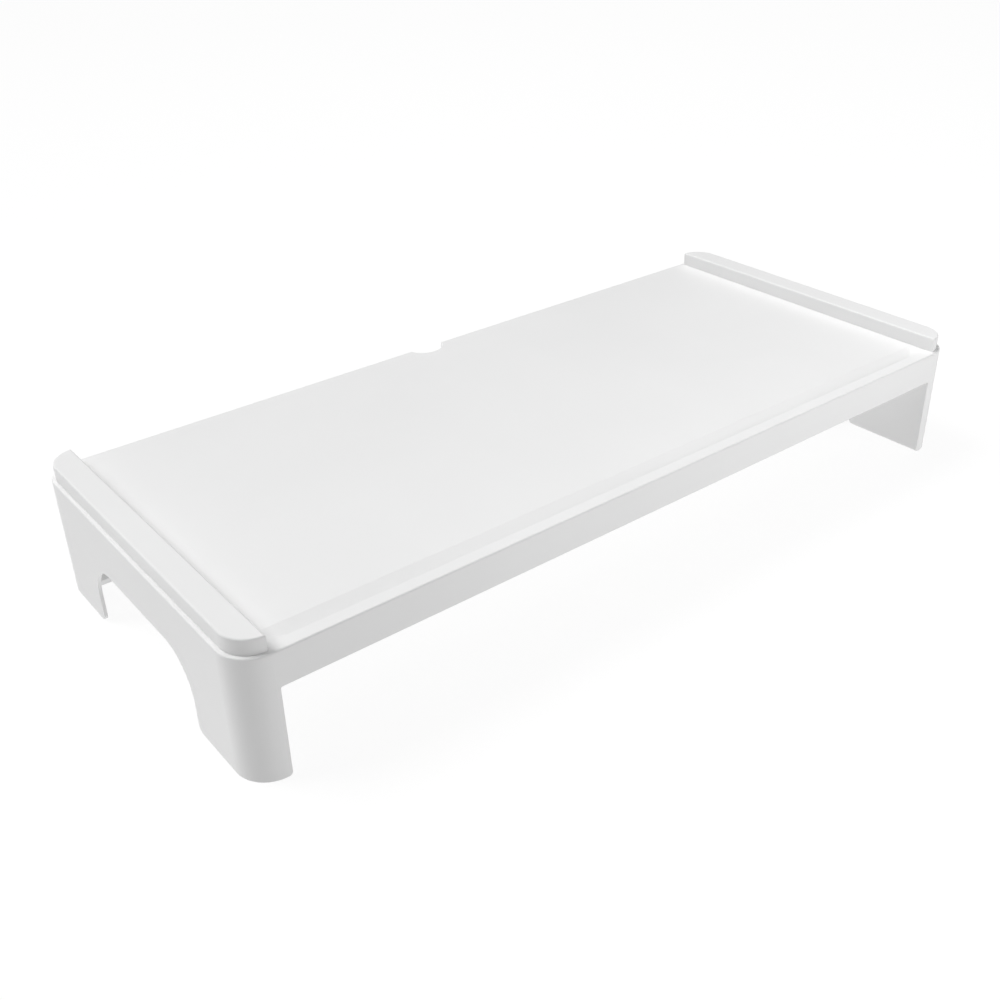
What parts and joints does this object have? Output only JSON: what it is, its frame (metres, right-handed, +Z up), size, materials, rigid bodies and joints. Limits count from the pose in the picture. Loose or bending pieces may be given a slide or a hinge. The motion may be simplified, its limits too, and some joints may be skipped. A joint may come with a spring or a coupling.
{
  "type": "monitor riser stand",
  "caption": "Low rectangular monitor riser with corner legs, open sides, a flat drop-in deck, raised end rails and a rear cable notch.",
  "frame": {"origin": "on the desk, under the middle of the stand", "axes": "+Z up, +X along the stand, -Y to its front; the cable notch is at +Y"},
  "size_m": [0.55, 0.2386, 0.0856],
  "materials": {
    "frame_plastic": "fine matte moulded white",
    "deck_plastic": "fine matte moulded white",
    "rail_plastic": "fine matte moulded white",
    "pad_rubber": "matte",
    "screw_steel": "zinc-plated"
  },
  "bodies": {
    "root": {"riser_frame": "frame_plastic", "deck_panel": "deck_plastic", "left_end_rail": "rail_plastic", "right_end_rail": "rail_plastic", "front_left_pad": "pad_rubber", "front_right_pad": "pad_rubber", "rear_left_pad": "pad_rubber", "rear_right_pad": "pad_rubber", "deck_screws": "screw_steel", "rail_screws": "screw_steel"}
  },
  "joints": []
}
